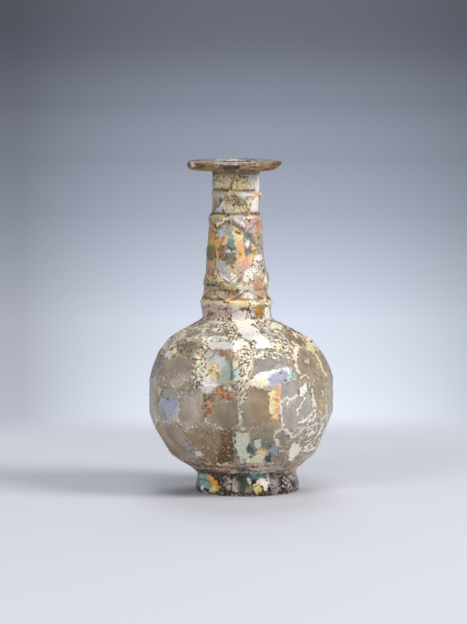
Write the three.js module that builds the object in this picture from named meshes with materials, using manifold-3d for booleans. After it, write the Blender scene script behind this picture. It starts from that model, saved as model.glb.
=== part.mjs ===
// A facet-cut glass bottle: a blown globe on a low foot, a tapering neck cut in rows of panels, a flat disc rim.
// It is one hollow piece of glass. Millimetres, +Z up.
// The front faces -Y, and an azimuth in degrees turns from there towards +X.
import * as THREE from "three";
import { mergeVertices } from "three/addons/utils/BufferGeometryUtils.js";
import Module from "manifold-3d";

const wasm = await Module();
wasm.setup();

// Heights, all above the table
const HEIGHT = 165;
const RIM_UNDERSIDE_Z = 161;
const NECK_BASE_Z = 86;
const COLLAR_EDGE_Z = 81.6;
const GLOBE_CENTRE_Z = 48;
const PAD_Z = 14.2;
const FOOT_TOP_Z = 9.6;

// Radii
const RIM_R = 23.7;
const NECK_TOP_R = 11.9;
const NECK_BASE_R = 17.7;
const COLLAR_EDGE_R = 26.2;
const GLOBE_R = 47;
const PAD_R = 29;
const FOOT_TOP_R = 24.5;
const FOOT_R = 26.1;
const FOOT_RECESS_R = 19.5;
const FOOT_RECESS_DEPTH = 4.2;

// The empty inside
const MOUTH_R = 7.2;
const BORE_TOP_R = 6.3;
const BORE_MIDDLE_R = 8.8;
const BORE_BASE_R = 13.2;
const HOLLOW_R = 41.2;
const HOLLOW_HALF_HEIGHT = 37.4;

// The bottle is crooked: its foot and its neck stand to opposite sides of the globe.
const FOOT_SHIFT = 3.1;
const FOOT_SHIFT_FADES = [7, 17];
const NECK_SHIFT = -2.3;
const NECK_SHIFT_GROWS = [60, 94];
const NECK_BOW = -0.7;
const NECK_BOW_ENDS = [94, 156];
const RIM_OFF_NECK = -1.1;

// Rows of flat facets round the globe: how many, the tilt of their faces above the horizontal,
// their distance from the globe's centre, and the azimuth of the first one.
const FACET_ROWS = [
  { count: 9, tilt: 61.5, distance: 41.4, first: 15 },
  { count: 12, tilt: 42, distance: 44.1, first: 10 },
  { count: 11, tilt: 23.6, distance: 45.1, first: 17 },
  { count: 16, tilt: 0, distance: 45.1, first: 11.25 },
  { count: 10, tilt: -30, distance: 44.2, first: 14 },
  { count: 10, tilt: -56, distance: 44.3, first: 32 },
];
const FACET_WANDER_DEG = 1.3;
const FACET_WANDER_MM = 0.22;

// Low on its right side the globe was left fuller and steeper.
const LOW_BULGE = { azimuth: 88, distance: 1.4, tilt: 8 };

// Ridges left standing round the neck
const RIDGE_1 = { z: 148.4, r: 12.7, half: 1.9 };
const RIDGE_2 = { z: 137.6, r: 13.4 };
const RIDGE_3 = { z: 103.4, r: 16.2 };
const RIDGE_4 = { z: 94.7, r: 18, half: 1.8 };

// Rows of panels round the neck, five to a row, from the rim down. An outline gives half of a panel
// as [degrees from its middle, height], upwards; the two depths are from the neck's axis to the panel's floor
// at its foot and head. The top row's floors are flat and the others follow the neck round.
// Uneven rows are spaced wider at the front than at the back.
const PANELS_PER_ROW = 5;
const PANEL_ROWS = [
  { flat: true, first: 26, uneven: 8, outline: [[40, 150.4], [40, 160.2]], depths: [9.6, 9.6] },
  { first: -14, uneven: 8, outline: [[43, 139], [42, 140.6], [19, 148.2], [0, 152]], depths: [11.6, 11.5] },
  { first: -14, uneven: 0, outline: [[0, 104.6], [37, 112], [37, 130.6], [0, 136.6]], depths: [15.3, 12.6] },
  { first: -52, uneven: 4, outline: [[37, 96.4], [34, 97.4], [0, 102]], depths: [16.3, 14.9] },
  { first: 9, uneven: 6, outline: [[34, 86.6], [34, 89.5], [0, 93.6]], depths: [16.9, 16.9] },
];
const LUG_RIGHT = { azimuth: 86, z: 107.3, r: 16.8, halfHeight: 2.8, halfWidth: 1.6 };
const LUG_LEFT = { azimuth: -92, z: 120.3, r: 14.6, halfHeight: 1.7, halfWidth: 1.6 };
const RIM_CHIP = { azimuth: 85, tilt: -55, distance: 14.7 };

const ROUND_SEGMENTS = 44;
const HOLLOW_SEGMENTS = 36;
const rad = THREE.MathUtils.degToRad;

// The unit vector that points outwards at an azimuth and a tilt above the horizontal
function outward(azimuth, tilt = 0) {
  const level = Math.cos(rad(tilt));
  return new THREE.Vector3(level * Math.sin(rad(azimuth)), -level * Math.cos(rad(azimuth)), Math.sin(rad(tilt)));
}

// A closed geometry as a solid for joins and cuts
function solidOf(geometry) {
  const bare = geometry.index ? geometry.toNonIndexed() : geometry.clone();
  bare.deleteAttribute("normal");
  bare.deleteAttribute("uv");
  const merged = mergeVertices(bare, 1e-4);
  return new wasm.Manifold(
    new wasm.Mesh({
      numProp: 3,
      vertProperties: merged.attributes.position.array,
      triVerts: new Uint32Array(merged.index.array),
    }),
  );
}

function geometryOf(solid) {
  const mesh = solid.getMesh();
  return new THREE.BufferGeometry()
    .setAttribute("position", new THREE.BufferAttribute(new Float32Array(mesh.vertProperties), 3))
    .setIndex(new THREE.BufferAttribute(new Uint32Array(mesh.triVerts), 1));
}

// Turns a profile of [radius, height] corners, listed upwards from the axis back to the axis, into a round solid
function turned(profile, segments = ROUND_SEGMENTS) {
  const points = profile.map(([r, z]) => new THREE.Vector2(r, z));
  return solidOf(new THREE.LatheGeometry(points, segments).rotateX(Math.PI / 2));
}

// Points along part of an ellipse about the axis, between two tilts above the horizontal
function ellipseArc(r, halfHeight, centreZ, fromTilt, toTilt, steps) {
  return Array.from({ length: steps + 1 }, (_, i) => {
    const tilt = rad(THREE.MathUtils.lerp(fromTilt, toTilt, i / steps));
    return [r * Math.cos(tilt), centreZ + halfHeight * Math.sin(tilt)];
  });
}

// A block whose inner face is a plane at a distance from a centre on the axis, to cut one flat face
function facetCutter(centreZ, azimuth, tilt, distance, width, height) {
  const depth = 20;
  const normal = outward(azimuth, tilt);
  const along = outward(azimuth + 90);
  const up = new THREE.Vector3().crossVectors(normal, along);
  const block = new THREE.BoxGeometry(width, height, depth);
  block.applyMatrix4(new THREE.Matrix4().makeBasis(along, up, normal));
  const middle = normal.multiplyScalar(distance + depth / 2);
  return solidOf(block.translate(middle.x, middle.y, middle.z + centreZ));
}

// An outline of [tangential, height] corners, pushed straight outwards at an azimuth from one distance to another
function radialPrism(outline, azimuth, from, to) {
  const shape = new THREE.Shape(outline.map(([t, z]) => new THREE.Vector2(t, z)));
  const prism = new THREE.ExtrudeGeometry(shape, { depth: to - from, bevelEnabled: false });
  const out = outward(azimuth);
  prism.applyMatrix4(new THREE.Matrix4().makeBasis(outward(azimuth + 90), new THREE.Vector3(0, 0, 1), out));
  return solidOf(prism.translate(out.x * from, out.y * from, 0));
}

// Hand cutting: a small repeatable departure for the i-th facet of a row
const wander = (i, row) => Math.sin(2.4 * i + 1.7 * row);

const cutAll = (blank, cutters) => cutters.reduce((left, cutter) => left.subtract(cutter), blank);
const joinAll = (pieces) => pieces.reduce((left, piece) => left.add(piece));

// The globe, cut all over with rows of flat facets
function globe() {
  const lowTilt = -47;
  const highTilt = 47;
  const blank = turned([
    [0, FOOT_TOP_Z],
    [PAD_R - 4, FOOT_TOP_Z],
    ...ellipseArc(GLOBE_R, GLOBE_R, GLOBE_CENTRE_Z, lowTilt, highTilt, 12),
    [COLLAR_EDGE_R, COLLAR_EDGE_Z + 2],
    [0, COLLAR_EDGE_Z + 2],
  ]);
  const cutters = FACET_ROWS.flatMap(({ count, tilt, distance, first }, row) =>
    Array.from({ length: count }, (_, i) => {
      const azimuth = first + (360 * i) / count + FACET_WANDER_DEG * wander(i, row);
      const fuller = row === 4 ? Math.max(0, Math.cos(rad(azimuth - LOW_BULGE.azimuth))) ** 6 : 0;
      const cut = distance + FACET_WANDER_MM * wander(i + 5, row) + LOW_BULGE.distance * fuller;
      return facetCutter(GLOBE_CENTRE_Z, azimuth, tilt + LOW_BULGE.tilt * fuller, cut, 70, 70);
    }),
  );
  return cutAll(blank, cutters);
}

// The sloping collar that carries the neck on the shoulder, with a small ledge at its edge
function collar() {
  return turned([
    [0, COLLAR_EDGE_Z - 8],
    [COLLAR_EDGE_R - 3, COLLAR_EDGE_Z - 8],
    [COLLAR_EDGE_R, COLLAR_EDGE_Z - 1],
    [COLLAR_EDGE_R - 1.6, COLLAR_EDGE_Z + 0.8],
    [NECK_BASE_R + 1.6, NECK_BASE_Z - 0.9],
    [NECK_BASE_R, NECK_BASE_Z + 0.4],
    [0, NECK_BASE_Z + 0.4],
  ]);
}

// The neck as turned, with its ridges, before its panels are cut
function neckBlank() {
  return turned([
    [0, NECK_BASE_Z - 2],
    [NECK_BASE_R, NECK_BASE_Z - 2],
    [NECK_BASE_R - 0.2, RIDGE_4.z - RIDGE_4.half],
    [RIDGE_4.r, RIDGE_4.z - 0.5],
    [RIDGE_4.r, RIDGE_4.z + 0.4],
    [17.1, RIDGE_4.z + RIDGE_4.half],
    [15.6, RIDGE_3.z - 1.6],
    [RIDGE_3.r, RIDGE_3.z],
    [RIDGE_3.r, RIDGE_3.z + 1.4],
    [14.7, 116],
    [13.8, 126],
    [RIDGE_2.r, RIDGE_2.z - 0.6],
    [RIDGE_2.r - 0.4, RIDGE_2.z + 0.6],
    [NECK_TOP_R + 0.2, RIDGE_2.z + 1.6],
    [NECK_TOP_R + 0.2, RIDGE_1.z - RIDGE_1.half],
    [RIDGE_1.r, RIDGE_1.z - 0.4],
    [RIDGE_1.r, RIDGE_1.z + 0.3],
    [NECK_TOP_R, RIDGE_1.z + RIDGE_1.half],
    [NECK_TOP_R, RIM_UNDERSIDE_Z + 1],
    [0, RIM_UNDERSIDE_Z + 1],
  ]);
}

// What lies outside the floor of one neck panel: beyond a plane, or beyond the round of the neck
function outsideFloor(prism, flat, azimuth, foot, head, depths) {
  if (!flat) {
    return prism.subtract(turned([[0, foot - 1], [depths[0], foot - 1], [depths[1], head + 1], [0, head + 1]]));
  }
  return prism.intersect(facetCutter((foot + head) / 2, azimuth, 0, depths[0], 40, 60));
}

// The cutters of one row of neck panels
function panelCutters({ flat, first, uneven, outline, depths }) {
  const foot = outline[0][1];
  const head = outline.at(-1)[1];
  const tangential = (deg, z) => THREE.MathUtils.mapLinear(z, foot, head, ...depths) * Math.sin(rad(deg));
  const right = outline.map(([deg, z]) => [tangential(deg, z), z]);
  const left = right.filter(([t]) => t > 0).map(([t, z]) => [-t, z]).reverse();
  return Array.from({ length: PANELS_PER_ROW }, (_, i) => {
    const turn = (360 * i) / PANELS_PER_ROW;
    const azimuth = first + turn + uneven * Math.sin(rad(turn + first + 14));
    return outsideFloor(radialPrism([...right, ...left], azimuth, 6, 24), flat, azimuth, foot, head, depths);
  });
}

// The stump of a broken point that stands out of the neck's side
function lug({ azimuth, z, r, halfHeight, halfWidth }) {
  const outline = [
    [-halfWidth, z - 0.7 * halfHeight],
    [halfWidth, z - halfHeight],
    [0.5 * halfWidth, z + halfHeight],
  ];
  return radialPrism(outline, azimuth, 11.5, r);
}

function neck() {
  const cut = cutAll(neckBlank(), PANEL_ROWS.flatMap(panelCutters));
  return joinAll([cut, lug(LUG_RIGHT), lug(LUG_LEFT)]);
}

// The flat disc rim, with the underside of its right edge broken away
function rim() {
  const disc = turned([
    [0, RIM_UNDERSIDE_Z - 1.2],
    [NECK_TOP_R - 2, RIM_UNDERSIDE_Z - 1.2],
    [NECK_TOP_R + 1.2, RIM_UNDERSIDE_Z - 0.2],
    [RIM_R - 0.9, RIM_UNDERSIDE_Z],
    [RIM_R - 0.2, RIM_UNDERSIDE_Z + 0.8],
    [RIM_R, HEIGHT - 0.8],
    [RIM_R - 0.7, HEIGHT],
    [0, HEIGHT],
  ]);
  const { azimuth, tilt, distance } = RIM_CHIP;
  const chipped = disc.subtract(facetCutter(HEIGHT, azimuth, tilt, distance, 60, 40));
  return chipped.translate([RIM_OFF_NECK, 0, 0]);
}

// The foot, the grooved pad between it and the globe, and the hollow beneath
function foot() {
  const standing = turned([
    [0, 0],
    [FOOT_R - 0.8, 0],
    [FOOT_R, 0.9],
    [FOOT_R - 0.3, 3.6],
    [FOOT_TOP_R, FOOT_TOP_Z - 0.8],
    [FOOT_TOP_R + 0.5, FOOT_TOP_Z + 0.3],
    [PAD_R - 2.2, PAD_Z - 2.2],
    [PAD_R - 2, PAD_Z - 1.5],
    [PAD_R, PAD_Z],
    [PAD_R - 0.4, PAD_Z + 1.4],
    [0, PAD_Z + 1.4],
  ]);
  const recess = turned([
    [0, -1],
    [FOOT_RECESS_R + 0.3, -1],
    ...ellipseArc(FOOT_RECESS_R, FOOT_RECESS_DEPTH, 0, 0, 75, 5),
    [0, FOOT_RECESS_DEPTH],
  ]);
  return standing.subtract(recess);
}

// The empty inside: an egg-shaped chamber, the bore of the neck and the flare of the mouth
function hollow() {
  return turned(
    [
      [0, GLOBE_CENTRE_Z - HOLLOW_HALF_HEIGHT],
      ...ellipseArc(HOLLOW_R, HOLLOW_HALF_HEIGHT, GLOBE_CENTRE_Z, -82, 66, 15),
      [BORE_BASE_R + 0.8, NECK_BASE_Z - 0.4],
      [BORE_BASE_R, NECK_BASE_Z + 3],
      [BORE_MIDDLE_R, 132],
      [BORE_TOP_R + 0.6, RIDGE_1.z - 6],
      [BORE_TOP_R, RIDGE_1.z + 3],
      [BORE_TOP_R, RIM_UNDERSIDE_Z],
      [MOUTH_R, HEIGHT - 0.8],
      [MOUTH_R + 0.9, HEIGHT],
      [MOUTH_R + 0.9, HEIGHT + 1],
      [0, HEIGHT + 1],
    ],
    HOLLOW_SEGMENTS,
  );
}

// How far sideways the bottle's middle stands at a height
function sideways(z) {
  const footPart = FOOT_SHIFT * (1 - THREE.MathUtils.smoothstep(z, ...FOOT_SHIFT_FADES));
  const neckPart = NECK_SHIFT * THREE.MathUtils.smoothstep(z, ...NECK_SHIFT_GROWS);
  const up = THREE.MathUtils.clamp(THREE.MathUtils.inverseLerp(...NECK_BOW_ENDS, z), 0, 1);
  return footPart + neckPart + NECK_BOW * Math.sin(Math.PI * up);
}

function crooked(geometry) {
  const position = geometry.getAttribute("position");
  for (let i = 0; i < position.count; i++) {
    position.setX(i, position.getX(i) + sideways(position.getZ(i)));
  }
  return geometry;
}

const whole = joinAll([globe(), collar(), neck(), rim(), foot()]).subtract(hollow());

const weatheredGlass = new THREE.MeshStandardMaterial({ color: 0xb8ab97, roughness: 0.35, metalness: 0 });
const bottle = new THREE.Mesh(crooked(geometryOf(whole)), weatheredGlass);
bottle.name = "glass_bottle";
bottle.geometry.computeVertexNormals();

const part = new THREE.Group();
part.add(bottle);

export default part;
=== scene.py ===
"""Looks of an old facet-cut glass bottle: bare hazy glass under patches of pearly film and pale pitted crust."""

import math

import bpy
import numpy as np
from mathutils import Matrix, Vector
from mathutils.bvhtree import BVHTree


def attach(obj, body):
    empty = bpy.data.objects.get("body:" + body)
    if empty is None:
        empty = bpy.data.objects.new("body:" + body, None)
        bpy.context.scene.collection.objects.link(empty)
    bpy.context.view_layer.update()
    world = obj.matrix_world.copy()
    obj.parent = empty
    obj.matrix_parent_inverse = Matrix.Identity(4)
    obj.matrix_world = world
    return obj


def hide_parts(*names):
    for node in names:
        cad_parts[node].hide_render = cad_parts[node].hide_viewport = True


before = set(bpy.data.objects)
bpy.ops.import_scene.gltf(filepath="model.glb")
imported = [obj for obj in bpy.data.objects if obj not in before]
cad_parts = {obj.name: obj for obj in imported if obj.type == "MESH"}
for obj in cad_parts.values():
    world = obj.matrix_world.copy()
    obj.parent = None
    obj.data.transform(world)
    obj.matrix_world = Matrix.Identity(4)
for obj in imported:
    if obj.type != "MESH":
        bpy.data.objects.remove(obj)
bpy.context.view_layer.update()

# Sizes in millimetres, as in the solid
HEIGHT = 165.0
FOOT_SHIFT, FOOT_FADES = 3.1, (7.0, 17.0)
NECK_SHIFT, NECK_GROWS = -2.3, (60.0, 94.0)
NECK_BOW, BOW_ENDS = -0.7, (94.0, 156.0)
NECK_TOP_R, NECK_TOP_Z = 12.6, 160
RIM_CENTRE, RIM_R = -3.4, 22
GLOBE_R, GLOBE_Z = 47.0, 48.0
HOLLOW_R, HOLLOW_FLOOR = 37.4, 12

# The camera, and the picture the weathering was measured on
CAMERA_BACK, CAMERA_TILT, AIM_Z = 2200.0, 5.7, 83.0
LENS, SENSOR = 254.0, 36.0
PICTURE_W, PICTURE_H = 467.0, 624.0
AIM_X_PX, AIM_Y_PX = 241.2, 325.0

# The mesh: points in a ring, how much closer they lie at the front, and the rings of the underside
COLUMNS, INNER_COLUMNS = 300, 60
CROWDING = 0.5
UNDER_RADII = (3, 6, 9, 12, 15, 17.5, 19, 19.7, 20.3, 22, 24, 25.1)
RAY_FROM, RAY_MISS = 70, 5  # where a ray starts, and how far on it ends if it misses

# The painting: where it leaves the picture, in degrees from the front, and how fast it runs on from there
UNROLL_FROM, UNROLL_RATE = 60, 0.55
UNSEEN_FROM, UNSEEN_TO = 0.98, 1.06  # where the sides' own patches set in, in radii
WANDER, WANDER_BEHIND, FRAY = 1.5, 6, 1.3  # how far outlines stray, in pixels
MARGIN, SOFT_EDGE = 4, 0.8  # how far past its outline a patch is looked for, and its edge's softness
HAZE_GAIN = 2.9  # glass colours are lightened, because the glass swallows light


def smooth(low, high, value):
    """From 0 at low to 1 at high, eased at both ends."""
    t = np.clip((np.asarray(value, float) - low) / (high - low), 0, 1)
    return t * t * (3 - 2 * t)


def sideways(z):
    """How far the bottle's middle stands to the right at a height."""
    foot = FOOT_SHIFT * (1 - smooth(*FOOT_FADES, z))
    bow = NECK_BOW * np.sin(math.pi * np.clip((z - BOW_ENDS[0]) / (BOW_ENDS[1] - BOW_ENDS[0]), 0, 1))
    return foot + NECK_SHIFT * smooth(*NECK_GROWS, z) + bow


def noise(p, size, seed):
    """Smooth repeatable noise from 0 to 1 at points p, with lumps of about the given size."""
    q = p / size + seed * 3.7
    cell = np.floor(q).astype(np.int64)
    f = q - cell
    f = f * f * (3 - 2 * f)
    total = 0
    for corner in range(8):
        step = np.array([corner & 1, corner >> 1 & 1, corner >> 2 & 1])
        c = cell + step
        h = (c[:, 0] * 374761393 + c[:, 1] * 668265263 + c[:, 2] * 1440662683 + seed * 144665) & 0xFFFFFFFF
        h = ((h ^ (h >> 13)) * 1274126177) & 0xFFFFFFFF
        weight = np.prod(np.where(step, f, 1 - f), axis=1)
        total = total + weight * ((h ^ (h >> 16)) & 0xFFFF) / 65535.0
    return total


def cloudy(p, size, seed, octaves=3):
    """Noise with finer noise laid over it."""
    total, weight = 0, 0
    for k in range(octaves):
        total = total + noise(p, size / 2**k, seed + k) / 2**k
        weight += 1 / 2**k
    return total / weight


# The fine mesh is laid on the solid: a straight ray onto the solid's skin finds every point.
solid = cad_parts["glass_bottle"]
skin = BVHTree.FromPolygons(
    [solid.matrix_world @ v.co for v in solid.data.vertices], [tuple(p.vertices) for p in solid.data.polygons]
)


def azimuths(count, crowding):
    """Azimuths from the back round to the back, closer together at the front."""
    t = np.linspace(-math.pi, math.pi, count, endpoint=False)
    return t - crowding * np.sin(t)


def row(kind, value, centre, turns):
    """One ring of points on the skin and the way it faces there. kind says which way the rays run."""
    ring = np.empty((len(turns), 2, 3))
    for i, a in enumerate(turns):
        out = Vector((math.sin(a), -math.cos(a), 0))
        middle = Vector((centre, 0, 0))
        if kind == "wall":
            start, way = middle + out * RAY_FROM + Vector((0, 0, value)), -out
        elif kind == "bore":
            start, way = middle + Vector((0, 0, value)), out
        else:
            start = middle + out * value[0] + Vector((0, 0, value[1]))
            way = Vector((0, 0, 1 if kind == "up" else -1))
        hit, facing = skin.ray_cast(start / 1000, way)[:2]
        ring[i] = (np.array(hit) * 1000, facing) if hit else (start + way * RAY_MISS, -way)
    return ring


def spread(low, high, step):
    """Values from low to high, about a step apart."""
    return np.linspace(low, high, max(1, round(abs(high - low) / step)) + 1)


def rim_x(r):
    """Where the middle of a ring of the rim stands."""
    return np.interp(r, (NECK_TOP_R, RIM_R), (sideways(NECK_TOP_Z), RIM_CENTRE))


def outer_rows():
    """Rings from under the foot up the outside and over the rim to the mouth."""
    turns = azimuths(COLUMNS, CROWDING)
    rows = [row("up", (r, -5), sideways(0), turns) for r in UNDER_RADII]
    heights = [0.12, 0.45, 0.95, *spread(1.8, 9.2, 0.8), *spread(9.7, 15.4, 0.55)]
    heights += [GLOBE_Z + GLOBE_R * math.sin(t) for t in np.radians(spread(-43.0, 45.4, 0.88))]
    heights += [*spread(81.9, 86.2, 0.34), *spread(86.8, 159.6, 0.68)]
    rows += [row("wall", z, sideways(z), turns) for z in heights]
    rows += [row("up", (r, 156), rim_x(r), turns) for r in spread(12.9, 22.5, 1.1)]
    rows += [row("wall", z, RIM_CENTRE, turns) for z in spread(161.2, 164.75, 0.45)]
    rows += [row("down", (r, 175), rim_x(r), turns) for r in spread(22.6, 8.3, 1.1)]
    return np.array(rows).transpose(2, 0, 1, 3)


def inner_rows():
    """Rings from the mouth down the bore and the hollow to its floor."""
    turns = azimuths(INNER_COLUMNS, 0.0)
    heights = [164.6, 164.0, 162.6, 161, *spread(158, 88, 4)]
    heights += [GLOBE_Z + HOLLOW_R * math.sin(t) for t in np.radians(spread(64, -74, 5))]
    rows = [row("bore", z, sideways(z), turns) for z in heights]
    rows += [row("down", (r, 40), sideways(HOLLOW_FLOOR), turns) for r in (9, 6, 3)]
    return np.array(rows).transpose(2, 0, 1, 3)


def relax(grid, passes, amount):
    """Eases every point towards the middle of its neighbours."""
    for _ in range(passes):
        beside = np.roll(grid, 1, 1) + np.roll(grid, -1, 1)
        above = np.concatenate([grid[1:], grid[-1:]])
        below = np.concatenate([grid[:1], grid[:-1]])
        grid = grid + amount * ((beside + above + below) / 4 - grid)
    return grid


def grid_normals(grid):
    along = np.roll(grid, -1, 1) - np.roll(grid, 1, 1)
    up = np.concatenate([grid[1:], grid[-1:]]) - np.concatenate([grid[:1], grid[:-1]])
    n = np.cross(along, up)
    return n / np.maximum(np.linalg.norm(n, axis=2, keepdims=True), 1e-9)


# Colours of the film and of the glass, as they look in plain light
COLOURS = {
    "pearl": (244, 241, 234), "milk": (240, 233, 219), "cream": (231, 220, 197), "straw": (222, 203, 140),
    "sand": (214, 188, 126), "rose": (200, 174, 152), "khaki": (180, 162, 122), "olive": (130, 116, 74),
    "silver": (188, 184, 178), "grey": (172, 161, 142), "slate": (122, 121, 120), "lilac": (216, 212, 210),
    "mauve": (198, 170, 162), "violet": (168, 170, 192), "blue": (146, 152, 182), "sky": (192, 202, 206),
    "aqua": (132, 186, 178), "mint": (220, 222, 200), "sage": (152, 164, 144), "teal": (112, 142, 136),
    "deep teal": (28, 84, 90), "bottle": (0, 44, 20), "lemon": (238, 226, 168), "gold": (216, 170, 78),
    "saffron": (234, 166, 34), "apricot": (236, 184, 116), "orange": (208, 143, 88), "salmon": (220, 170, 148),
    "tan": (190, 151, 116), "brown": (146, 108, 72), "umber": (92, 68, 40), "amber": (168, 120, 14),
    "soot": (52, 40, 30), "taupe": (152, 140, 121), "dusk": (125, 114, 96), "bronze": (142, 121, 98),
    "celadon": (220, 221, 196), "smoke": (154, 150, 146), "moss": (128, 127, 107), "fawn": (165, 154, 143),
    "primrose": (234, 232, 194), "jade": (20, 126, 104), "tea": (98, 68, 16), "rust": (190, 128, 86),
    "lagoon": (82, 110, 114), "oat": (217, 199, 158), "loden": (112, 96, 30),
}

# How a place is weathered: the share that film covers, the share that is pitted, how it gleams and how it flakes
WEAR = {
    "glass": (0.02, 0.00, 0.0, 0.0), "dust": (0.26, 0.08, 0.0, 0.0), "crumbs": (0.58, 0.28, 0.0, 0.0),
    "crust": (0.96, 0.40, 0.0, 0.0), "pitted": (0.96, 0.19, 0.2, 0.0), "film": (1.00, 0.04, 0.5, 0.0),
    "pure": (1.00, 0.00, 0.15, 0.0), "ragged": (0.60, 0.32, 0.0, 0.0), "flakes": (0.08, 0.12, 0.2, 0.33),
}

# Outlines used twice, for the glass and the dust on it
SHOULDER_RIGHT = (284,325, 300,326, 312,344, 300,346, 290,342)
LOW_FACET = (184,434, 199,429, 222,431, 231,442, 226,457, 217,464, 202,462, 190,446)
FOOT_BAND = (180,473, 310,473, 310,505, 180,505)

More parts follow.
